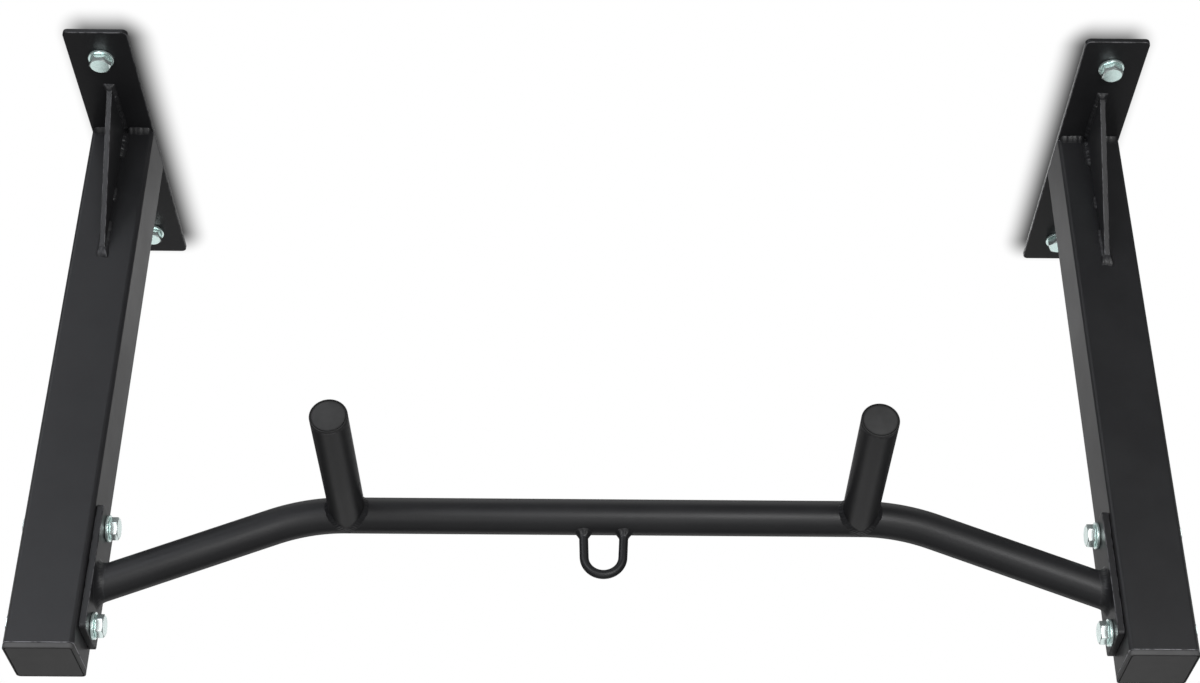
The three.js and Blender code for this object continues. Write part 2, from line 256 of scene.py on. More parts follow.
def make(name, body, material, stands_for=(), sharp=30, wear_and_painted_light_amount=1.0):
    """A piece of the object that rides on the frame's one body, smooth up to a sharp angle."""
    mesh = bpy.data.meshes.new(name)
    mesh.from_pydata([point * MM for point in body.points], [], body.faces)
    work = bmesh.new()
    work.from_mesh(mesh)
    bmesh.ops.dissolve_degenerate(work, dist=1e-6, edges=work.edges)
    bmesh.ops.recalc_face_normals(work, faces=work.faces)
    mark_wear_and_painted_light(work, wear_and_painted_light_amount)
    work.to_mesh(mesh)
    work.free()
    mesh.shade_smooth()
    mesh.set_sharp_from_angle(angle=math.radians(sharp))
    mesh.materials.append(material)
    piece = bpy.data.objects.new(name, mesh)
    bpy.context.scene.collection.objects.link(piece)
    if material is ZINC:
        ZINC_PIECES.objects.link(piece)
    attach(piece, "root")
    if stands_for:
        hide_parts(*stands_for)


# ---------- materials ----------


class Graph:
    """A short way to write a node tree."""

    def __init__(self, tree):
        self.tree = tree

    def add(self, kind, values=None, **settings):
        """Adds a node; a value is a number, a colour or another node's socket."""
        node = self.tree.nodes.new(kind)
        for key, value in settings.items():
            setattr(node, key, value)
        for key, value in (values or {}).items():
            if isinstance(value, bpy.types.NodeSocket):
                self.tree.links.new(value, node.inputs[key])
            else:
                node.inputs[key].default_value = value
        return node

    def place(self):
        """The place on the object, in metres."""
        return self.add("ShaderNodeTexCoord").outputs["Object"]

    def wear_and_painted_light(self):
        """The edge mark that make() put on the mesh: scuffing, painted highlight and painted shade, by
        material.
        """
        return self.add("ShaderNodeAttribute", attribute_name="wear_and_painted_light").outputs["Fac"]

    def noise(self, where, scale, detail, roughness=0.5):
        """Grey noise with a number of cells to the metre."""
        values = {"Vector": where, "Scale": scale, "Detail": detail, "Roughness": roughness}
        return self.add("ShaderNodeTexNoise", values).outputs["Fac"]

    def between(self, value, low, high, to_low, to_high):
        """Maps a value smoothly from one range to another."""
        ends = {"From Min": low, "From Max": high, "To Min": to_low, "To Max": to_high}
        values = {"Value": value, **ends}
        return self.add("ShaderNodeMapRange", values, interpolation_type="SMOOTHSTEP").outputs["Result"]

    def math(self, operation, a, b=0.0):
        """Arithmetic on two values."""
        return self.add("ShaderNodeMath", {0: a, 1: b}, operation=operation).outputs[0]

    def blend(self, factor, a, b):
        """A colour between two others."""
        node = self.add("ShaderNodeMix", {"Factor": factor}, data_type="RGBA")
        for key, value in (("A", a), ("B", b)):
            socket = next(s for s in node.inputs if s.name == key and s.type == "RGBA")
            if isinstance(value, bpy.types.NodeSocket):
                self.tree.links.new(value, socket)
            else:
                socket.default_value = (*value, 1)
        return next(s for s in node.outputs if s.type == "RGBA")


def new_material(name):
    """An empty material, its graph and its shader."""
    material = bpy.data.materials.new(name)
    material.use_nodes = True
    graph = Graph(material.node_tree)
    return material, graph, material.node_tree.nodes["Principled BSDF"]


def connect(graph, shader, **sockets):
    """Links sockets to the shader's inputs, underscores standing for spaces."""
    for key, socket in sockets.items():
        graph.tree.links.new(socket, shader.inputs[key.replace("_", " ")])


def powder_coat():
    """Semi-matte black powder coat: a fine pebbled skin with faint mottling and lighter edges, partly
    scuffed and partly painted highlight.
    """
    dark, light, speck = (0.0125, 0.0127, 0.0142), (0.0160, 0.0162, 0.0178), (0.05, 0.05, 0.052)
    # The lighter edge colours are partly scuffed coat and partly painted highlight.
    edge_colour, bare_steel_and_painted_highlight = (0.17, 0.17, 0.18), (0.62, 0.62, 0.66)
    material, graph, shader = new_material("powder_coat")
    where = graph.place()
    pebbles = graph.noise(where, 650, 3, 0.6)
    mottle = graph.noise(where, 22, 4, 0.6)
    specks = graph.noise(where, 1900, 1)
    wear_and_painted_light = graph.wear_and_painted_light()
    patches = graph.noise(where, 140, 4, 0.65)
    rub_and_painted_highlight = graph.math("MULTIPLY", wear_and_painted_light, graph.between(patches, 0.36, 0.56, 0, 1))
    # Above 1 the edge mark takes the coat down to uncoated metal, whose pale colour is also a painted
    # highlight along the edges.
    bare_and_painted_highlight = graph.math("SUBTRACT", wear_and_painted_light, 1)
    bare_and_painted_highlight = graph.math("MULTIPLY", bare_and_painted_highlight, graph.between(patches, 0.36, 0.56, 0.35, 1))
    coat = graph.blend(graph.between(mottle, 0.3, 0.7, 0, 1), dark, light)
    coat = graph.blend(graph.between(specks, 0.62, 0.8, 0, 0.6), coat, speck)
    # Rounded edges lighten: partly scuffed coat, partly a painted highlight.
    coat = graph.blend(graph.math("MULTIPLY", rub_and_painted_highlight, 0.8), coat, edge_colour)
    coat = graph.blend(bare_and_painted_highlight, coat, bare_steel_and_painted_highlight)
    roughness = graph.between(mottle, 0.25, 0.75, 0.40, 0.44)
    roughness = graph.math("SUBTRACT", roughness, graph.math("MULTIPLY", rub_and_painted_highlight, 0.1))
    height = graph.math("ADD", pebbles, graph.math("MULTIPLY", specks, 0.3))
    bump = graph.add("ShaderNodeBump", {"Height": height, "Strength": 0.3, "Distance": 0.00009})
    connect(graph, shader, Base_Color=coat, Roughness=roughness, Normal=bump.outputs["Normal"])
    return material


def black_plastic(name, low, high):
    """Moulded black plastic, of a tone between two greys, with a fine grain and faint flow marks."""
    # This colour is painted shade for the edges and groove corners.
    painted_shade = (0.008, 0.008, 0.008)
    material, graph, shader = new_material(name)
    where = graph.place()
    grain = graph.noise(where, 1100, 2, 0.6)
    flow = graph.noise(where, 45, 3, 0.55)
    wear_and_painted_light = graph.wear_and_painted_light()
    tone = graph.blend(graph.between(flow, 0.3, 0.7, 0, 1), (low, low, low), (high, high, high))
    # Painted shade darkens the rounded edges and the sharp corners of the grooves.
    tone = graph.blend(graph.math("MULTIPLY", wear_and_painted_light, 0.6), tone, painted_shade)
    roughness = graph.between(flow, 0.25, 0.75, 0.5, 0.62)
    bump = graph.add("ShaderNodeBump", {"Height": grain, "Strength": 0.3, "Distance": 0.00012})
    connect(graph, shader, Base_Color=tone, Roughness=roughness, Normal=bump.outputs["Normal"])
    return material


def zinc_plate():
    """Bright zinc plating with a pale blue-green tint, faint clouding and scuffed, lighter corners."""
    dull, bright, edge_colour = (0.66, 0.84, 0.81), (0.74, 0.91, 0.88), (0.9, 0.95, 0.94)
    material, graph, shader = new_material("zinc_plate")
    where = graph.place()
    cloud = graph.noise(where, 160, 3, 0.6)
    grain = graph.noise(where, 1500, 2, 0.6)
    wear_and_painted_light = graph.wear_and_painted_light()
    tint = graph.blend(graph.between(cloud, 0.3, 0.7, 0, 1), dull, bright)
    tint = graph.blend(graph.math("MULTIPLY", wear_and_painted_light, 0.5), tint, edge_colour)
    roughness = graph.between(cloud, 0.25, 0.75, 0.18, 0.24)
    bump = graph.add("ShaderNodeBump", {"Height": grain, "Strength": 0.15, "Distance": 0.00001})
    shader.inputs["Metallic"].default_value = 0.75
    connect(graph, shader, Base_Color=tint, Roughness=roughness, Normal=bump.outputs["Normal"])
    return material


COAT = powder_coat()
# The arm caps' plastic is a lighter copy of the grip caps': painted light that brightens their
# downward-facing undersides.
ARM_CAP_PLASTIC_PAINTED_LIGHTER = black_plastic("arm_cap_plastic_painted_lighter", 0.095, 0.122)
GRIP_CAP_PLASTIC = black_plastic("grip_cap_plastic", 0.03, 0.048)
ZINC = zinc_plate()
ZINC_PIECES = bpy.data.collections.new("zinc_pieces")

# ---------- places read from the frame ----------

X, Y, Z = Vector((1, 0, 0)), Vector((0, 1, 0)), Vector((0, 0, 1))


def corners_of(node):
    """A node's lowest and highest corners, in millimetres."""
    low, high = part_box(node)
    return low / MM, high / MM


def centre_of(node):
    """The middle of a node's box, in millimetres."""
    low, high = corners_of(node)
    return (low + high) / 2


BAR_HEIGHT = corners_of("pull_up_bar")[1].z - TUBE_RADIUS
BAR_END = corners_of("pull_up_bar")[1].x

# ---------- plates, arms and caps ----------


def ceiling_plate(side):
    """The flat strip against the ceiling, with its two screw holes."""
    node = f"{side}_ceiling_plate"
    low, high = corners_of(node)
    middle = centre_of(node)
    size = high - low
    holes = [
        circle(HOLE_RADIUS, SMALL_SIDES, 0, centre_of(f"{side}_{end}_screw").y - middle.y)
        for end in ("front", "rear")
    ]
    body = plate(rounded_rectangle(size.x, size.y, PLATE_CORNER), size.z, PLATE_EDGE, holes)
    body.move(Matrix.Translation((middle.x, middle.y, low.z)))
    make(node + "_coated", body, COAT, [node])


def drilled_side(body, corners, x, heights):
    """Fills an arm wall's flat side round its bolt holes and returns the holes' rings."""
    supports, holes = (
        [body.ring((x, p.x, z + p.y) for p in circle(radius)) for z in heights]
        for radius in (HOLE_RADIUS + SUPPORT, HOLE_RADIUS)
    )
    body.fill(corners, *supports)
    for pair in zip(supports, holes):
        body.skin(pair)
    return holes


def arm(side):
    """The square tube: round corners, rounded ends and its four bolt holes."""
    node = f"{side}_arm"
    low, high = corners_of(node)
    middle = centre_of(node)
    size = high - low
    outside = rounded_rectangle(size.x, size.y, ARM_CORNER)
    bore = size.x - 2 * ARM_WALL
    inside = rounded_rectangle(bore, bore, ARM_CORNER - ARM_WALL)
    body = Body()
    outer = [body.level(inset(outside, d), z) for d, z in edge_stages(ARM_EDGE, size.z)]
    inner = [body.level(inset(inside, -d), z) for d, z in reversed(edge_stages(BORE_EDGE, size.z))]
    # The long flat sides that hold the bolt holes are left open, then filled round them. Each
    # corner of an outline has CORNER_STEPS + 3 points.
    long_outer = len(outer) // 2 - 1
    long_inner = len(outer) + len(inner) // 2 - 1
    flats = [(len(outside) - 1, 1), (2 * (CORNER_STEPS + 3) - 1, -1)]
    without = {(step, flat) for step in (long_outer, long_inner) for flat, _ in flats}
    rings = outer + inner
    body.skin(rings, closed=True, without=without)
    heights = [centre_of(f"{side}_{level}_bolt").z - low.z for level in ("upper", "lower")]
    for flat, sign in flats:
        other = (flat + 1) % len(outside)
        tunnels = []
        for step, half in ((long_outer, size.x / 2), (long_inner, bore / 2)):
            a, b = rings[step], rings[step + 1]
            corners = [a[flat], a[other], b[other], b[flat]]
            tunnels.append(drilled_side(body, corners, sign * half, heights))
        for pair in zip(*tunnels):
            body.skin(pair)
    body.move(Matrix.Translation((middle.x, middle.y, low.z)))
    make(node + "_coated", body, COAT, [node], wear_and_painted_light_amount=ARM_WEAR_AND_HIGHLIGHT)


def gusset(side):
    """The triangular brace between plate and arm."""
    node = f"{side}_gusset"
    low, high = corners_of(node)
    reach, drop = high.y - low.y, high.z - low.z
    corners = [(0, 0), (0, -drop), (GUSSET_TOE, -drop), (reach, -GUSSET_TOE), (reach, 0)]
    body = plate(rounded_polygon(corners, GUSSET_CORNER, 3), high.x - low.x, GUSSET_EDGE)
    body.move(basis(-Y, Z, -X, (high.x, high.y, high.z)))
    make(node + "_coated", body, COAT, [node])


def arm_cap(side):
    """The moulded plug in the arm's open end: a flange below and a hollow spigot above."""
    node = f"{side}_arm_cap"
    low, high = corners_of(node)
    middle = centre_of(node)
    width = high.x - low.x
    top = high.z - low.z
    flange = rounded_rectangle(width, high.y - low.y, ARM_CORNER)
    spigot_size = width - 2 * (ARM_WALL + GAP)
    spigot = rounded_rectangle(spigot_size, spigot_size, ARM_CORNER - ARM_WALL)
    hollow_size = spigot_size - 2 * CAP_WALL
    hollow = rounded_rectangle(hollow_size, hollow_size, 1)
    body = Body()
    stages = edge_stages(CAP_EDGE, CAP_FLANGE, 6)
    stages = stages[: len(stages) // 2]
    # The flange's upper edge is nearly sharp, where it meets the arm.
    stages += [(0, CAP_FLANGE - 0.5), (0, CAP_FLANGE - 0.2), (0.2, CAP_FLANGE), (0.5, CAP_FLANGE)]
    walls = [body.level(inset(flange, d), z) for d, z in stages]
    walls += [
        body.level(spigot, CAP_FLANGE),
        body.level(spigot, top - 1),
        body.level(inset(spigot, 0.8), top),
        body.level(hollow, top),
        body.level(hollow, CAP_FLANGE),
    ]
    underside = []
    for distance, height in ARM_CAP_GROOVE:
        panel = width - 2 * distance
        underside.append(body.level(rounded_rectangle(panel, panel, PANEL_CORNER), height))
    rings = underside + walls
    body.skin(rings)
    body.fill(rings[0])
    body.fill(rings[-1])
    body.move(Matrix.Translation((middle.x, middle.y, low.z)))
    make(node + "_moulded", body, ARM_CAP_PLASTIC_PAINTED_LIGHTER, [node])


def end_plate(side):
    """The upright plate at the bar's end, with its two bolt holes."""
    node = f"{side}_end_plate"
    low, high = corners_of(node)
    middle = centre_of(node)
    holes = [
        circle(HOLE_RADIUS, SMALL_SIDES, 0, centre_of(f"{side}_{level}_bolt").z - middle.z)
        for level in ("upper", "lower")
    ]
    outline = rounded_rectangle(high.y - low.y, high.z - low.z, END_PLATE_CORNER, 5)
    body = plate(outline, high.x - low.x, PLATE_EDGE, holes)
    body.move(basis(Y, Z, X, (low.x, middle.y, middle.z)))
    make(node + "_coated", body, COAT, [node])


# ---------- bar, grips and eye ----------


def bar_stations():
    """(x, z, slope) along the bar's axis from the left end to the right one."""
    plate_face = BAR_END + GAP
    slope = math.atan2(BAR_END_DROP, plate_face - BEND_OFFSET)
    start = BEND_OFFSET - BEND_RADIUS * math.tan(slope / 2)
    half = []
    for k in range(BEND_STEPS + 1):
        angle = slope * k / BEND_STEPS
        x = start + BEND_RADIUS * math.sin(angle)
        z = BAR_HEIGHT - BEND_RADIUS * (1 - math.cos(angle))
        half.append((x, z, angle))
    x, z, _ = half[-1]
    half.append((x + 2, z - 2 * math.tan(slope), slope))
    for x_end in (BAR_END - 1, BAR_END):
        half.append((x_end, z - (x_end - x) * math.tan(slope), slope))
    half.insert(0, (start - 2, BAR_HEIGHT, 0))
    return [(-x, z, -angle) for x, z, angle in reversed(half)] + half


def bar_ring(station, radius, body):
    """A ring round the bar's axis, square to it except at the ends, which are cut upright."""
    x, z, slope = station
    points = []
    for p in circle(radius, TUBE_SIDES):
        if abs(x) > BAR_END - 2:
            points.append((x, p.x, z + p.y / math.cos(slope)))
        else:
            points.append((x + p.y * math.sin(slope), p.x, z + p.y * math.cos(slope)))
    return body.ring(points)


def pull_up_bar():
    """The bent tube."""
    body = Body()
    stations = bar_stations()
    outer = [bar_ring(station, TUBE_RADIUS, body) for station in stations]
    inner = [bar_ring(station, TUBE_RADIUS - TUBE_WALL, body) for station in reversed(stations)]
    body.skin(outer + inner, closed=True)
    make("bent_bar", body, COAT, ["pull_up_bar"])


def bar_face(height, clearance=GAP):
    """How far in front of its axis the bar's surface is, at a height from the axis."""
    radius = TUBE_RADIUS + clearance
    return math.sqrt(max(radius * radius - height * height, 0))


def grip(side):
    """The forward grip: a round tube coped to the bar."""
    node = f"{side}_grip"
    low = corners_of(node)[0]
    x = centre_of(node).x
    body = Body()

    def ring(radius, y=None, short=0.0):
        """A ring at y, or else along the cope, as much short of the bar as asked."""
        points = []
        for p in circle(radius, TUBE_SIDES):
            back = -bar_face(p.y) - short if y is None else y
            points.append((x + p.x, back, BAR_HEIGHT + p.y))
        return body.ring(points)

    inner_radius = TUBE_RADIUS - TUBE_WALL
    rings = [
        ring(TUBE_RADIUS),
        ring(TUBE_RADIUS, short=1),
        ring(TUBE_RADIUS, low.y + GRIP_EDGE + SUPPORT),
    ]
    for k in range(4):
        angle = math.pi / 6 * k
        radius = TUBE_RADIUS - GRIP_EDGE * (1 - math.cos(angle))
        rings.append(ring(radius, low.y + GRIP_EDGE * (1 - math.sin(angle))))
    rings += [ring(inner_radius, low.y), ring(inner_radius)]
    body.skin(rings, closed=True)
    make(node + "_coated", body, COAT, [node])


def grip_cap(side):
    """The moulded round plug in the grip's end, its face very slightly domed."""
    node = f"{side}_grip_cap"
    low, high = corners_of(node)
    middle = centre_of(node)
    plug = TUBE_RADIUS - TUBE_WALL - GAP
    depth = high.y - low.y
    dome = [(0.5 + 1.35 * k, 0.5 * (k / 10) ** 2) for k in range(11)]
    rim_start, rim_depth = GRIP_CAP_GROOVE[-1]
    edge = TUBE_RADIUS - rim_start
    rim = [
        (TUBE_RADIUS - edge * (1 - math.sin(a)), rim_depth + edge * (1 - math.cos(a)))
        for a in (math.pi / 6, math.pi / 3, math.pi / 2)
    ]
    profile = dome + GRIP_CAP_GROOVE + rim + [
        (TUBE_RADIUS, GRIP_CAP_THICKNESS),
        (plug, GRIP_CAP_THICKNESS),
        (plug, depth - 1),
        (plug - 0.8, depth),
        (plug - CAP_WALL, depth),
        (plug - CAP_WALL, GRIP_CAP_THICKNESS),
    ]
    body = lathe(profile)
    body.move(basis(X, -Z, Y, (middle.x, low.y, middle.z)))
    make(node + "_moulded", body, GRIP_CAP_PLASTIC, [node])


def eye_path():
    """The axis of the eye's rod as (x, z, direction of travel) from one leg's top to the other's."""
    bottom = corners_of("bag_eye")[0].z + EYE_ROD_RADIUS
    turn = math.pi / 2 - EYE_LEAN
    half = []
    for k in range(BEND_STEPS + 1):
        angle = turn * k / BEND_STEPS
        x = EYE_BEND_RADIUS * math.sin(angle)
        z = bottom + EYE_BEND_RADIUS * (1 - math.cos(angle))
        half.append((x, z, angle))
    rise = BAR_HEIGHT - TUBE_RADIUS - GAP - z
    for height in (rise - 5, rise):
        half.append((x + height * math.tan(EYE_LEAN), z + height, turn))
    return [(-x, z, -angle) for x, z, angle in reversed(half[1:])] + half


def bag_eye():
    """The U of round rod under the bar, its legs coped to the bar."""
    body = Body()
    rings = []
    stations = eye_path()
    for k, (x, z, angle) in enumerate(stations):
        points = []
        for p in circle(EYE_ROD_RADIUS, SMALL_SIDES):
            point = Vector((x - p.x * math.sin(angle), p.y, z + p.x * math.cos(angle)))
            if k in (0, len(stations) - 1):
                point.z = BAR_HEIGHT - bar_face(point.y)
            points.append(point)
        rings.append(body.ring(points))
    body.skin(rings)
    body.fill(rings[0])
    body.fill(rings[-1])
    make("bag_eye_coated", body, COAT, ["bag_eye"])


# ---------- fasteners ----------

HEAD_SIDES = 96
HEAD_FACE = 0.96 * HEAD_FLATS / 2  # radius of a head's flat end face
HEAD_CHAMFER = math.tan(math.radians(32))
HEAD_CORNER = 0.985  # how far out the corners reach after rubbing, against sharp ones
NUT_COUNTERSINK = 0.6


def hexagon_points():
    """The hexagon's outline, its corners a little rubbed down."""
    half = HEAD_FLATS / 2
    points = []
    for k in range(HEAD_SIDES):
        turn = 2 * math.pi * k / HEAD_SIDES
        offset = (turn + math.pi / 6) % (math.pi / 3) - math.pi / 6
        radius = half / math.cos(math.pi / 6 - abs(offset))
        radius = min(radius, HEAD_CORNER * half / math.cos(math.pi / 6))
        points.append(Vector((radius * math.cos(turn), radius * math.sin(turn))))
    return points


def chamfered(body, at, inward):
    """A hexagon's ring under its end chamfer, whose face is at a height and which lies inward of it."""
    points = [
        (p.x, p.y, at + inward * max(p.length - HEAD_FACE, 0) * HEAD_CHAMFER) for p in hexagon_points()
    ]
    return body.ring(points)


def thread(body, start, stop, pitch, depth, tip):
    """Rings of a threaded shank that narrows over its tip."""
    per_turn = 8
    count = max(2, round((stop - start) / pitch * per_turn))
    rings = []
    for k in range(count + 1):
        z = start + (stop - start) * k / count
        narrowing = min(1, 0.15 + 0.85 * (stop - z) / tip) if tip else 1
        entry = min(1, (z - start) / pitch)
        points = []
        for i in range(SHANK_SIDES):
            turn = 2 * math.pi * i / SHANK_SIDES
            phase = (z / pitch - i / SHANK_SIDES) % 1
            groove = depth * entry * (1 - abs(2 * phase - 1))
            radius = (BOLT_RADIUS - groove) * narrowing
            points.append((radius * math.cos(turn), radius * math.sin(turn), z))
        rings.append(body.ring(points))
    return rings


def headed(height, length, threaded, pitch, depth, tip):
    """A hexagon-headed fastener: its head below z = 0 and its threaded shank above."""
    body = Body()
    rings = [body.level(circle(radius, HEAD_SIDES), -height) for radius in (HEAD_FACE - 0.3, HEAD_FACE)]
    rings.append(chamfered(body, -height, 1))
    rings += [body.level(inset(hexagon_points(), d), z) for d, z in ((0, -0.5), (0.25, 0))]
    body.skin(rings)
    body.fill(rings[0])
    shank = [body.level(circle(BOLT_RADIUS, SHANK_SIDES), z) for z in (0, length - threaded)]
    shank += thread(body, length - threaded + 0.5, length, pitch, depth, tip)
    body.skin(shank)
    body.fill(rings[-1], shank[0])
    body.fill(shank[-1])
    return body


def nut_body(height):
    """A hexagon nut from z = 0 up, chamfered at both ends, with a countersunk bore."""
    body = Body()
    bore = BOLT_RADIUS + GAP
    rings = [
        body.level(circle(bore, HEAD_SIDES), NUT_COUNTERSINK),
        body.level(circle(bore + NUT_COUNTERSINK, HEAD_SIDES), 0),
        body.level(circle(HEAD_FACE, HEAD_SIDES), 0),
        chamfered(body, 0, 1),
        chamfered(body, height, -1),
        body.level(circle(HEAD_FACE, HEAD_SIDES), height),
        body.level(circle(bore + NUT_COUNTERSINK, HEAD_SIDES), height),
        body.level(circle(bore, HEAD_SIDES), height - NUT_COUNTERSINK),
    ]
    body.skin(rings, closed=True)
    return body


def washer(node, place):
    """A flat washer, its outer edge rounded by the press."""
    low, high = corners_of(node)
    thickness, _, diameter = sorted(high - low)
    body = plate(circle(diameter / 2, TUBE_SIDES), thickness, WASHER_EDGE, [circle(HOLE_RADIUS)])
    make(node + "_zinc", body.move(place), ZINC, [node])


def ceiling_fixing(side, end):
    """The coach screw and washer at one end of a ceiling plate."""
    node = f"{side}_{end}_screw"
    low, high = corners_of(node)
    washer_low = corners_of(node + "_washer")[0]
    middle = centre_of(node)
    seat = washer_low.z - GAP
    body = headed(seat - low.z, high.z - seat, *COACH_SCREW_THREAD)
    turn = Matrix.Rotation(TURNS[side][end], 4, "Z")
    body.move(Matrix.Translation((middle.x, middle.y, seat)) @ turn)
    make(node + "_zinc", body, ZINC, [node])
    washer(node + "_washer", Matrix.Translation((middle.x, middle.y, washer_low.z)))


def arm_fixing(side, level):
    """The bolt, washer and nut that clamp an end plate to its arm."""
    sign = -1 if side == "left" else 1
    names = {kind: f"{side}_{level}_{kind}" for kind in ("bolt", "washer", "nut")}
    inner = {}
    outer = {}
    for kind, node in names.items():
        inner[kind], outer[kind] = sorted(sign * corner.x for corner in corners_of(node))
    height = centre_of(names["bolt"]).z
    axes = (-sign * Z, Y, sign * X)

    def place(x, turn=0.0):
        """The placing of a body whose Z points outwards, at a distance from the object's middle."""
        return basis(*axes, (sign * x, 0, height)) @ Matrix.Rotation(turn, 4, "Z")

    turn = TURNS[side][level]
    seat = inner["washer"] - GAP
    bolt = headed(seat - inner["bolt"], outer["bolt"] - seat, *BOLT_THREAD)
    make(names["bolt"] + "_zinc", bolt.move(place(seat, turn)), ZINC, [names["bolt"]])
    nut = nut_body(outer["nut"] - inner["nut"])
    nut.move(place(inner["nut"], math.pi / 6 - turn))
    make(names["nut"] + "_zinc", nut, ZINC, [names["nut"]])
    washer(names["washer"], place(inner["washer"]))


# ---------- welds ----------


ARCH_STEPS = 8  # divisions across a bead's face
LINE_STEP = 0.4  # longest division along a bead, in millimetres
WRAP_STEPS = 30  # divisions of a wrapped bead along each side of its plate
TURN_STEPS = 16  # and round the plate's end
RIPPLE_SPACING = 2.6
CRESCENT = 1.1  # how far a ripple's middle lies ahead of its ends
ROOT = 0.25  # depth of a bead's root, in legs
CLOSING = 6  # length over which a closed bead evens out towards its ends


def weld(name, line, closed=False, arch=0.2, ripple=0.05, wander=1.0, seed=0.0):
    """A weld bead along a line of (corner, toe on one face, toe on the other).

    Toes are given from the corner, so their lengths are the bead's legs. The bead's face is a low
    arch between the toes, crossed by crescent ripples, and its root is buried in the corner.
    """
    travelled = [0.0]
    for (a, _, _), (b, _, _) in zip(line, line[1:]):
        travelled.append(travelled[-1] + (b - a).length)
    total = travelled[-1]
    body = Body()
    rings = []
    for (corner, first, second), s in zip(line, travelled):
        leg = (first.length + second.length) / 2
        outward = (first.normalized() + second.normalized()).normalized()
        # The bead swells and thins a little along its length.
        sway = 0.07 * math.sin(s * 0.55 + seed) + 0.05 * math.sin(s * 1.31 + 2.1 * seed)
        scale = 1 + wander * sway
        if closed:
            # The variation dies away where the bead's ends meet.
            scale = 1 + (scale - 1) * min(1, s / CLOSING, (total - s) / CLOSING)
        else:
            # Its open ends are round.
            near_end = min(s, total - s) / leg
            scale *= math.sqrt(max(0.02, 1 - max(0, 1 - near_end) ** 2))
        points = []
        for k in range(ARCH_STEPS + 1):
            u = k / ARCH_STEPS
            crescent = (s - CRESCENT * (1 - (2 * u - 1) ** 2)) / RIPPLE_SPACING
            bulge = (arch + ripple * math.cos(2 * math.pi * crescent)) * 4 * u * (1 - u)
            points.append(corner + (first * (1 - u) + second * u + outward * (bulge * leg)) * scale)
        points.append(corner - outward * (ROOT * leg * scale))
        rings.append(body.ring(points))
    body.skin(rings, closed=closed)
    if not closed:
        body.fill(rings[0])
        body.fill(rings[-1])
    make(name, body, COAT, sharp=70, wear_and_painted_light_amount=WELD_WEAR_AND_HIGHLIGHT)


def straight_line(start, stop, first, second):
    """A corner line between two points with the same two toes all along."""
    start, stop = Vector(start), Vector(stop)
    count = max(2, math.ceil((stop - start).length / LINE_STEP))
    return [(start.lerp(stop, k / count), first, second) for k in range(count + 1)]


def arm_welds(side):
    """Fillets where the arm meets its plate, front and back, the front one broken by the gusset."""
    low, high = corners_of(f"{side}_arm")
    middle = centre_of(f"{side}_arm")
    plate_low = corners_of(f"{side}_ceiling_plate")[0].z
    reach = (high.x - low.x) / 2 - 1.5  # from the arm's middle to the beads' far ends
    beside = 4  # and to their near ones, beside the gusset
    leg = 4.8
    for k, (from_x, to_x) in enumerate(((-reach, -beside), (beside, reach))):
        start = (middle.x + from_x, low.y, plate_low)
        stop = (middle.x + to_x, low.y, plate_low)
        line = straight_line(start, stop, -Y * leg, -Z * leg)
        weld(f"{side}_arm_front_weld_{k + 1}", line, arch=0.1, ripple=0.002, wander=0.5, seed=1.3 * k)
    start = (middle.x - reach, high.y, plate_low)
    stop = (middle.x + reach, high.y, plate_low)
    weld(f"{side}_arm_rear_weld", straight_line(start, stop, Y * leg, -Z * leg), arch=0.08, ripple=0.03)


def wrapped_line(tip, back, toe, half, leg, end_leg, reach, length):
    """A corner line up one side of the gusset, round its end and down the other side.

    The bead stands out from the end by its reach and splays at the two corners.
    """
    line = []
    for k in range(WRAP_STEPS):
        line.append((tip - X * half + back * length * (1 - k / WRAP_STEPS), -X * leg, toe * leg))
    for k in range(TURN_STEPS + 1):
        turn = math.pi * k / TURN_STEPS
        across, ahead = -math.cos(turn), math.sin(turn)
        splay = 1 + 0.45 * math.sin(2 * turn) ** 2
        corner = tip + X * (half * max(-1, min(1, 2 * across)))
        spread = (X * (across * leg) - back * (ahead * reach)) * splay
        line.append((corner, spread, toe * (leg + (end_leg - leg) * ahead)))
    for k in range(1, WRAP_STEPS + 1):
        line.append((tip + X * half + back * length * k / WRAP_STEPS, X * leg, toe * leg))
    return line


def gusset_welds(side):
    """Fillets along the gusset's two faces, wrapped round its pointed ends."""
    low, high = corners_of(f"{side}_gusset")
    middle = centre_of(f"{side}_gusset")
    plate_low = corners_of(f"{side}_ceiling_plate")[0].z
    front = corners_of(f"{side}_arm")[0].y
    half = (high.x - low.x) / 2
    for hand, away in (("inner", -X), ("outer", X)):
        x = middle.x + away.x * half
        # Each run: its start and stop, the way its toe points off the gusset, and its leg.
        runs = {
            "plate": ((x, front - 3, plate_low), (x, low.y + 12, plate_low), -Z, 3.2),
            "arm_top": ((x, front, high.z - 3), (x, front, high.z - 34), -Y, 4.2),
            "arm_middle": ((x, front, high.z - 70), (x, front, high.z - 86), -Y, 2.6),
        }
        for k, (label, (start, stop, second, leg)) in enumerate(runs.items()):
            line = straight_line(start, stop, away * leg, second * leg)
            weld(f"{side}_gusset_{hand}_{label}_weld", line, seed=0.9 * k + away.x + 1)
    tip = Vector((middle.x, low.y, plate_low))
    line = wrapped_line(tip, Y, -Z, half, leg=3.0, end_leg=4.6, reach=4.0, length=13)
    weld(f"{side}_gusset_tip_weld", line, arch=0.15, ripple=0.08)
    foot = Vector((middle.x, front, low.z))
    line = wrapped_line(foot, Z, -Y, half, leg=3.0, end_leg=3.6, reach=8.5, length=32)
    weld(f"{side}_gusset_foot_weld", line, arch=0.2, ripple=0.08)


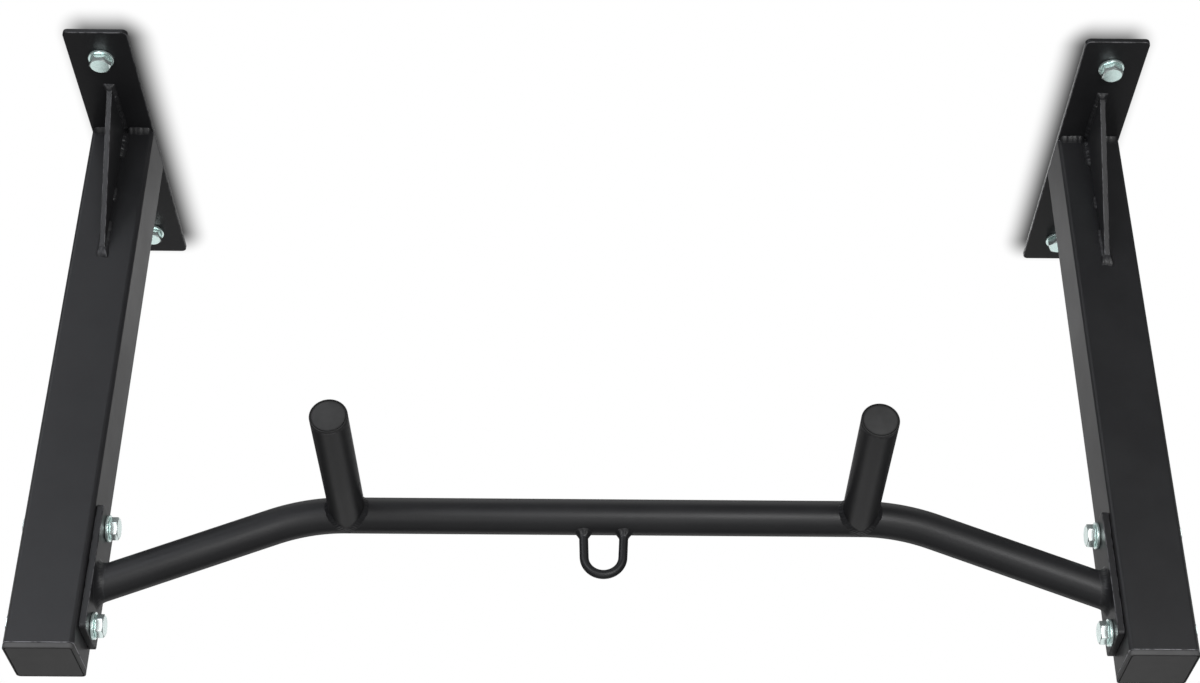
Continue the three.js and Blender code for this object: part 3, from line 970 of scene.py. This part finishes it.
def bar_end_weld(side):
    """The fillet round the bar where it meets its end plate."""
    sign = -1 if side == "left" else 1
    x, z, slope = bar_stations()[-1]
    z -= GAP * math.tan(slope)
    along = Vector((-sign * math.cos(slope), 0, math.sin(slope)))
    line = []
    for p in circle(TUBE_RADIUS, 240):
        point = Vector((sign * (x + GAP), p.x, z + p.y / math.cos(slope)))
        line.append((point, Vector((0, p.x, p.y)).normalized() * 5.2, along * 8))
    weld(f"{side}_bar_end_weld", line, closed=True, arch=-0.26, ripple=0.01, wander=0.4)


def grip_weld(side):
    """The fillet along the saddle-shaped joint of a grip and the bar."""
    x = centre_of(f"{side}_grip").x
    spokes = circle(TUBE_RADIUS, 260)
    points = [Vector((x + p.x, -bar_face(p.y, 0), BAR_HEIGHT + p.y)) for p in spokes]
    line = []
    for i, (point, p) in enumerate(zip(points, spokes)):
        spoke = Vector((p.x, 0, p.y)).normalized()
        travel = (points[(i + 1) % len(points)] - points[i - 1]).normalized()
        normal = Vector((0, point.y, point.z - BAR_HEIGHT)).normalized()
        on_bar = normal.cross(travel).normalized()
        if on_bar.dot(spoke + Y) < 0:
            on_bar.negate()
        on_grip = spoke.cross(travel).normalized()
        if on_grip.dot(Y) > 0:
            on_grip.negate()
        line.append((point, on_bar * 3.6, on_grip * 3.8))
    weld(f"{side}_grip_weld", line, closed=True, arch=0.0, ripple=0.05)


def eye_welds():
    """A fillet round each leg of the eye, longer down the rod than over the bar."""
    top_x = eye_path()[-1][0]
    for hand, sign in (("left", -1), ("right", 1)):
        along = Vector((-sign * math.sin(EYE_LEAN), 0, -math.cos(EYE_LEAN)))
        line = []
        for p in circle(EYE_ROD_RADIUS, 90):
            point = Vector((sign * top_x + p.x, p.y, BAR_HEIGHT - bar_face(p.y, 0)))
            normal = Vector((0, point.y, point.z - BAR_HEIGHT)).normalized()
            spoke = Vector((p.x, p.y, 0)).normalized()
            over_bar = (spoke - normal * spoke.dot(normal)).normalized()
            line.append((point, over_bar * 3.7, along * 5.5))
        weld(f"eye_{hand}_weld", line, closed=True, arch=-0.08, ripple=0.04)


# ---------- the object ----------

pull_up_bar()
bag_eye()
eye_welds()
for side in ("left", "right"):
    ceiling_plate(side)
    arm(side)
    gusset(side)
    arm_cap(side)
    end_plate(side)
    grip(side)
    grip_cap(side)
    ceiling_fixing(side, "front")
    ceiling_fixing(side, "rear")
    arm_fixing(side, "upper")
    arm_fixing(side, "lower")
    arm_welds(side)
    gusset_welds(side)
    bar_end_weld(side)
    grip_weld(side)

# ---------- camera ----------

# These come from fitting the object's edges to the photograph.
LENS = 63.463
SENSOR = 36
SHIFT = (-0.0197, -0.0080)
VIEWPOINT = Vector((-2.003, -1662.614, -1302.656)) * MM
PITCH, YAW, ROLL = 0.57876, 0.01162, 0.00173  # in radians


def camera():
    """Looks up at the bar from in front and below, a little right of straight ahead."""
    data = bpy.data.cameras.new("camera")
    data.lens = LENS
    data.sensor_width = SENSOR
    data.shift_x, data.shift_y = SHIFT
    data.clip_end = 50
    forward = Vector((math.sin(YAW) * math.cos(PITCH), math.cos(YAW) * math.cos(PITCH), math.sin(PITCH)))
    level = Vector((math.cos(YAW), -math.sin(YAW), 0))
    upright = level.cross(forward)
    right = math.cos(ROLL) * level + math.sin(ROLL) * upright
    up = math.cos(ROLL) * upright - math.sin(ROLL) * level
    view = bpy.data.objects.new("camera", data)
    view.matrix_world = basis(right, up, -forward, VIEWPOINT)
    bpy.context.scene.collection.objects.link(view)
    bpy.context.scene.camera = view


camera()

# ---------- ceiling, floor and light ----------

# The ceiling's shadow has a dark core behind each plate, given from the right plate's lowest and
# highest corners, and fades out over a distance. All in millimetres.
SHADOW_X = (6.5, 36)  # both from the plate's inner side
SHADOW_Y = (15, -30)  # from its front and from its rear end
SHADOW_FADE = 35
SHADOW_STRETCH = 0.78  # distances along Y count for this much


def stage_plane(name, material, half_size, height, upward=False):
    """A square plane that belongs to the studio, not to the object. Its sizes are in metres."""
    mesh = bpy.data.meshes.new(name)
    s = half_size
    corners = [(-s, -s, height), (s, -s, height), (s, s, height), (-s, s, height)]
    mesh.from_pydata(corners, [], [(0, 1, 2, 3) if upward else (3, 2, 1, 0)])
    mesh.materials.append(material)
    plane = bpy.data.objects.new(name, mesh)
    bpy.context.scene.collection.objects.link(plane)
    # Only the camera sees the studio's surfaces; the lamps and the sky do all the lighting.
    plane.visible_diffuse = False
    plane.visible_glossy = False
    plane.visible_shadow = False


def clear_from_behind(graph, surface):
    """A shader that shows a surface on a plane's front and nothing on its back."""
    clear = graph.add("ShaderNodeBsdfTransparent").outputs[0]
    behind = graph.add("ShaderNodeNewGeometry").outputs["Backfacing"]
    return graph.add("ShaderNodeMixShader", {0: behind, 1: surface, 2: clear}).outputs[0]


def ceiling():
    """White ceiling, clear from above, with a soft shadow at each plate's front and inner side."""
    material = bpy.data.materials.new("ceiling")
    material.use_nodes = True
    tree = material.node_tree
    tree.nodes.clear()
    graph = Graph(tree)
    low, high = corners_of("right_ceiling_plate")
    parts = graph.add("ShaderNodeSeparateXYZ", {"Vector": graph.place()})
    across = graph.math("ABSOLUTE", parts.outputs["X"])
    core_x = (low.x + SHADOW_X[0], low.x + SHADOW_X[1])
    core_y = (low.y + SHADOW_Y[0], high.y + SHADOW_Y[1])
    squares = []
    for value, (start, stop), stretch in (
        (across, core_x, 1),
        (parts.outputs["Y"], core_y, SHADOW_STRETCH),
    ):
        off = graph.math("ABSOLUTE", graph.math("SUBTRACT", value, (start + stop) / 2 * MM))
        off = graph.math("MAXIMUM", graph.math("SUBTRACT", off, (stop - start) / 2 * MM), 0)
        off = graph.math("MULTIPLY", off, stretch)
        squares.append(graph.math("MULTIPLY", off, off))
    distance = graph.math("SQRT", graph.math("ADD", *squares))
    light = graph.between(distance, 0, SHADOW_FADE * MM, 0, 1)
    glow = graph.add("ShaderNodeEmission", {"Color": (1, 1, 1, 1), "Strength": light}).outputs[0]
    graph.add("ShaderNodeOutputMaterial", {"Surface": clear_from_behind(graph, glow)})
    stage_plane("ceiling", material, half_size=6, height=0.0004)


def floor():
    """Plain pale floor, clear from below so that it never hides the object."""
    material, graph, shader = new_material("floor")
    shader.inputs["Base Color"].default_value = (0.8, 0.8, 0.79, 1)
    shader.inputs["Roughness"].default_value = 0.9
    shader.inputs["Emission Color"].default_value = (1, 1, 0.99, 1)
    shader.inputs["Emission Strength"].default_value = 0.5
    surface = graph.tree.nodes["Material Output"].inputs["Surface"]
    graph.tree.links.new(clear_from_behind(graph, shader.outputs[0]), surface)
    stage_plane("floor", material, half_size=12, height=-2.3, upward=True)


# Each softbox: azimuth round from the front towards +X and elevation in degrees, distance, width
# and height in metres, and power in watts.
SOFTBOXES = {
    "front_low": (12, -17, 2.1, 0.75, 0.7, 12.2),
    "front_left": (-28, 2, 2.1, 0.75, 0.7, 7.6),
    "front_right": (28, 3, 2.1, 0.75, 0.7, 4.0),
    "low_left": (-29, -36, 2.5, 0.9, 0.7, 3.4),
    "low_right": (29, -36, 2.5, 0.9, 0.7, 2.8),
    "left_high": (-50, 26, 2.1, 0.75, 0.7, 4.0),
    "left_top": (-27, 42, 2.6, 0.6, 0.5, 1.4),
    "below_front": (0, -52, 3.4, 2.4, 1.2, 7.5),
    "back_high": (180, 46, 3.4, 3.0, 1.2, 4.0),
    "back_middle": (180, 30, 2.7, 0.9, 1.1, 2.3),
    "back_level": (180, 12, 3.4, 3.0, 1.2, 3.4),
    "back_low": (180, -21, 3.4, 3.0, 1.2, 7.5),
    "below": (0, -89, 3.4, 3.0, 3.0, 7.5),
    "above": (0, 89, 3.4, 3.0, 3.0, 17),
}
# This one grazes the right ceiling plate alone, and shows as a fine bright line along its inner side.
EDGE_SOFTBOXES = {"edge_light": (182, 44, 2.7, 0.8, 0.6, 2.5)}
# These light the zinc-plated pieces alone, which would otherwise mirror a mostly dark studio.
ZINC_SOFTBOXES = {
    "zinc_back_low": (180, -46, 3.2, 3.6, 2.0, 20),
    "zinc_back_high": (180, 26, 3.2, 3.0, 1.4, 3.0),
    "zinc_front_low": (0, -28, 2.5, 3.2, 1.6, 21),
    "zinc_front_high": (0, 40, 3.0, 4.0, 2.0, 9),
}
# These light the arms, gussets and nuts alone, for their outer and rear faces.
FRAME_SOFTBOXES = {
    "side_left": (-90, 8, 3.2, 1.8, 1.6, 14),
    "side_right": (90, 8, 3.2, 1.8, 1.6, 12),
    "rear_left": (-135, -12, 3.2, 1.4, 1.6, 10),
    "rear_right": (135, -12, 3.2, 1.4, 1.6, 10),
}
COOL, WARM = (0.93, 0.95, 1), (1, 0.9, 0.92)
COLOURS = {
    "front_left": COOL,
    "left_high": COOL,
    "left_top": COOL,
    "zinc_front_low": WARM,
    "zinc_back_high": WARM,
}
SKY_LIGHT = 0.104  # the strength at which the pale sky lights the object
SKY_SEEN = 0.9  # and at which the camera sees it
MIDDLE = Vector((0, 0, -0.35))  # what the softboxes face, in metres


def softbox(name, azimuth, elevation, distance, width, height, power):
    """A soft rectangular lamp that faces the middle of the object."""
    data = bpy.data.lights.new(name, "AREA")
    data.shape = "RECTANGLE"
    data.size = width
    data.size_y = height
    data.energy = power
    if name in COLOURS:
        data.color = COLOURS[name]
    lamp = bpy.data.objects.new(name, data)
    turn, rise = math.radians(azimuth), math.radians(elevation)
    outward = Vector((math.sin(turn) * math.cos(rise), -math.cos(turn) * math.cos(rise), math.sin(rise)))
    lamp.location = MIDDLE + outward * distance
    lamp.rotation_euler = outward.to_track_quat("Z", "Y").to_euler()
    lamp.visible_camera = False
    bpy.context.scene.collection.objects.link(lamp)
    return lamp


def light_alone(pieces, softboxes):
    """Softboxes that light only the pieces of a collection."""
    for name, values in softboxes.items():
        softbox(name, *values).light_linking.receiver_collection = pieces


def collection_of(name, pieces):
    """A collection of the pieces with the given names."""
    collection = bpy.data.collections.new(name)
    for piece in pieces:
        collection.objects.link(bpy.data.objects[piece])
    return collection


def sky():
    """A sky that is pale to the camera and dim as a source of light."""
    world = bpy.data.worlds.new("studio")
    world.use_nodes = True
    graph = Graph(world.node_tree)
    seen = graph.add("ShaderNodeLightPath").outputs["Is Camera Ray"]
    strength = graph.between(seen, 0, 1, SKY_LIGHT, SKY_SEEN)
    background = graph.tree.nodes["Background"]
    graph.tree.links.new(strength, background.inputs["Strength"])
    background.inputs["Color"].default_value = (1, 1, 1, 1)
    bpy.context.scene.world = world


ceiling()
floor()
sky()
for name, values in SOFTBOXES.items():
    softbox(name, *values)
light_alone(ZINC_PIECES, ZINC_SOFTBOXES)
light_alone(collection_of("edge_lit", ["right_ceiling_plate_coated"]), EDGE_SOFTBOXES)
FRAME_PIECES = [
    f"{side}_{piece}"
    for side in ("left", "right")
    for piece in ("arm_coated", "gusset_coated", "upper_nut_zinc", "lower_nut_zinc")
]
light_alone(collection_of("frame_lit", FRAME_PIECES), FRAME_SOFTBOXES)
bpy.context.scene.view_settings.view_transform = "Standard"

bpy.context.view_layer.update()
